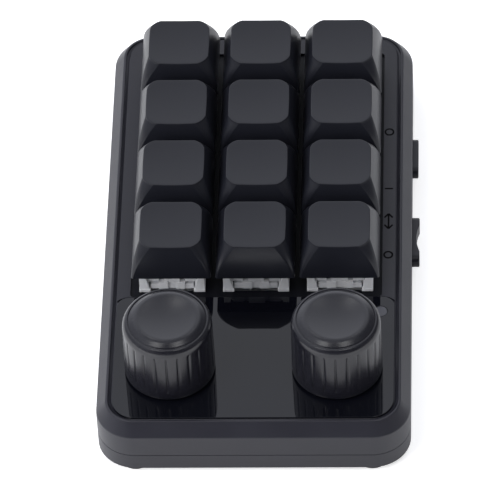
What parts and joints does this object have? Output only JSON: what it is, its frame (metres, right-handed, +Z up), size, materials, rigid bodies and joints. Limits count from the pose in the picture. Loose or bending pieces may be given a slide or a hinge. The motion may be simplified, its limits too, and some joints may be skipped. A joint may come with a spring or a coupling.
{
  "type": "macro keypad",
  "caption": "Desktop macro keypad with sculpted square keys in rows over a gloss panel with fluted push knobs, in a bevelled two-shell case with a slide switch and a button on one side.",
  "frame": {"origin": "on the desk plane under the middle of the case", "axes": "+X to the user's right, +Y from the front edge to the rear edge, +Z up from the desk"},
  "size_m": [0.0721, 0.123, 0.0322],
  "materials": {
    "case_plastic": "fine spark-textured moulding",
    "cover_plastic": "fine matte moulding",
    "panel_acrylic": "polished",
    "window_plastic": "frosted",
    "light_epoxy": "clear resin",
    "keycap_plastic": "fine-grained moulding",
    "stem_plastic": "smooth moulding",
    "switch_nylon": "milky moulding",
    "knob_plastic": "satin moulding",
    "control_plastic": "satin moulding",
    "plate_steel": "matte paint",
    "board_laminate": "solder mask",
    "spring_steel": "drawn wire",
    "encoder_metal": "plated",
    "encoder_plastic": "moulded",
    "shaft_metal": "turned",
    "screw_steel": "blackened",
    "foot_rubber": "matte",
    "chip_epoxy": "moulded",
    "battery_foil": "laminated foil"
  },
  "bodies": {
    "base": {"bottom_case": "case_plastic", "foot_pads": "foot_rubber", "case_screws": "screw_steel", "outer_frame": "case_plastic", "inner_cover": "cover_plastic", "gloss_panel": "panel_acrylic", "status_window": "window_plastic", "status_light": "light_epoxy", "switch_plate": "plate_steel", "circuit_board": "board_laminate", "switch_bases": "switch_nylon", "switch_tops": "switch_nylon", "key_springs": "spring_steel", "encoder_bases": "encoder_plastic", "encoder_covers": "encoder_metal", "encoder_domes": "spring_steel", "slide_switch_body": "encoder_metal", "push_switch_body": "encoder_metal", "socket_shell": "encoder_metal", "socket_tongue": "encoder_plastic", "controller_chip": "chip_epoxy", "battery": "battery_foil"},
    "key_1": {"keycap_1": "keycap_plastic", "stem_1": "stem_plastic"},
    "key_2": {"keycap_2": "keycap_plastic", "stem_2": "stem_plastic"},
    "key_3": {"keycap_3": "keycap_plastic", "stem_3": "stem_plastic"},
    "key_4": {"keycap_4": "keycap_plastic", "stem_4": "stem_plastic"},
    "key_5": {"keycap_5": "keycap_plastic", "stem_5": "stem_plastic"},
    "key_6": {"keycap_6": "keycap_plastic", "stem_6": "stem_plastic"},
    "key_7": {"keycap_7": "keycap_plastic", "stem_7": "stem_plastic"},
    "key_8": {"keycap_8": "keycap_plastic", "stem_8": "stem_plastic"},
    "key_9": {"keycap_9": "keycap_plastic", "stem_9": "stem_plastic"},
    "key_10": {"keycap_10": "keycap_plastic", "stem_10": "stem_plastic"},
    "key_11": {"keycap_11": "keycap_plastic", "stem_11": "stem_plastic"},
    "key_12": {"keycap_12": "keycap_plastic", "stem_12": "stem_plastic"},
    "left_turner": {"left_rotor": "encoder_plastic"},
    "left_dial": {"left_knob": "knob_plastic", "left_shaft": "shaft_metal"},
    "right_turner": {"right_rotor": "encoder_plastic"},
    "right_dial": {"right_knob": "knob_plastic", "right_shaft": "shaft_metal"},
    "power_slide": {"power_slider": "control_plastic", "slide_switch_lever": "encoder_plastic"},
    "side_press": {"side_button": "control_plastic", "push_switch_plunger": "encoder_plastic"}
  },
  "joints": [
    {"name": "key_1_press", "type": "slide", "parent": "base", "child": "key_1", "axis": [0, 0, -1], "range_m": [0, 0.004], "stiffness_N_per_m": 120, "springref_m": -0.0035, "deforming": ["key_springs"]},
    {"name": "key_2_press", "type": "slide", "parent": "base", "child": "key_2", "axis": [0, 0, -1], "range_m": [0, 0.004], "stiffness_N_per_m": 120, "springref_m": -0.0035, "deforming": ["key_springs"]},
    {"name": "key_3_press", "type": "slide", "parent": "base", "child": "key_3", "axis": [0, 0, -1], "range_m": [0, 0.004], "stiffness_N_per_m": 120, "springref_m": -0.0035, "deforming": ["key_springs"]},
    {"name": "key_4_press", "type": "slide", "parent": "base", "child": "key_4", "axis": [0, 0, -1], "range_m": [0, 0.004], "stiffness_N_per_m": 120, "springref_m": -0.0035, "deforming": ["key_springs"]},
    {"name": "key_5_press", "type": "slide", "parent": "base", "child": "key_5", "axis": [0, 0, -1], "range_m": [0, 0.004], "stiffness_N_per_m": 120, "springref_m": -0.0035, "deforming": ["key_springs"]},
    {"name": "key_6_press", "type": "slide", "parent": "base", "child": "key_6", "axis": [0, 0, -1], "range_m": [0, 0.004], "stiffness_N_per_m": 120, "springref_m": -0.0035, "deforming": ["key_springs"]},
    {"name": "key_7_press", "type": "slide", "parent": "base", "child": "key_7", "axis": [0, 0, -1], "range_m": [0, 0.004], "stiffness_N_per_m": 120, "springref_m": -0.0035, "deforming": ["key_springs"]},
    {"name": "key_8_press", "type": "slide", "parent": "base", "child": "key_8", "axis": [0, 0, -1], "range_m": [0, 0.004], "stiffness_N_per_m": 120, "springref_m": -0.0035, "deforming": ["key_springs"]},
    {"name": "key_9_press", "type": "slide", "parent": "base", "child": "key_9", "axis": [0, 0, -1], "range_m": [0, 0.004], "stiffness_N_per_m": 120, "springref_m": -0.0035, "deforming": ["key_springs"]},
    {"name": "key_10_press", "type": "slide", "parent": "base", "child": "key_10", "axis": [0, 0, -1], "range_m": [0, 0.004], "stiffness_N_per_m": 120, "springref_m": -0.0035, "deforming": ["key_springs"]},
    {"name": "key_11_press", "type": "slide", "parent": "base", "child": "key_11", "axis": [0, 0, -1], "range_m": [0, 0.004], "stiffness_N_per_m": 120, "springref_m": -0.0035, "deforming": ["key_springs"]},
    {"name": "key_12_press", "type": "slide", "parent": "base", "child": "key_12", "axis": [0, 0, -1], "range_m": [0, 0.004], "stiffness_N_per_m": 120, "springref_m": -0.0035, "deforming": ["key_springs"]},
    {"name": "left_knob_turn", "type": "hinge", "parent": "base", "child": "left_turner", "pos_m": [-0.01875, -0.04335, 0.0123], "axis": [0, 0, 1], "continuous": true},
    {"name": "left_knob_push", "type": "slide", "parent": "left_turner", "child": "left_dial", "axis": [0, 0, -1], "range_m": [0, 0.0005], "stiffness_N_per_m": 2000, "springref_m": -0.0005, "deforming": ["encoder_domes"]},
    {"name": "right_knob_turn", "type": "hinge", "parent": "base", "child": "right_turner", "pos_m": [0.01875, -0.04335, 0.0123], "axis": [0, 0, 1], "continuous": true},
    {"name": "right_knob_push", "type": "slide", "parent": "right_turner", "child": "right_dial", "axis": [0, 0, -1], "range_m": [0, 0.0005], "stiffness_N_per_m": 2000, "springref_m": -0.0005, "deforming": ["encoder_domes"]},
    {"name": "power_slide_shift", "type": "slide", "parent": "base", "child": "power_slide", "axis": [0, -1, 0], "range_m": [0, 0.002]},
    {"name": "side_button_press", "type": "slide", "parent": "base", "child": "side_press", "axis": [-1, 0, 0], "range_m": [0, 0.0004], "stiffness_N_per_m": 2500, "springref_m": -0.0004}
  ]
}
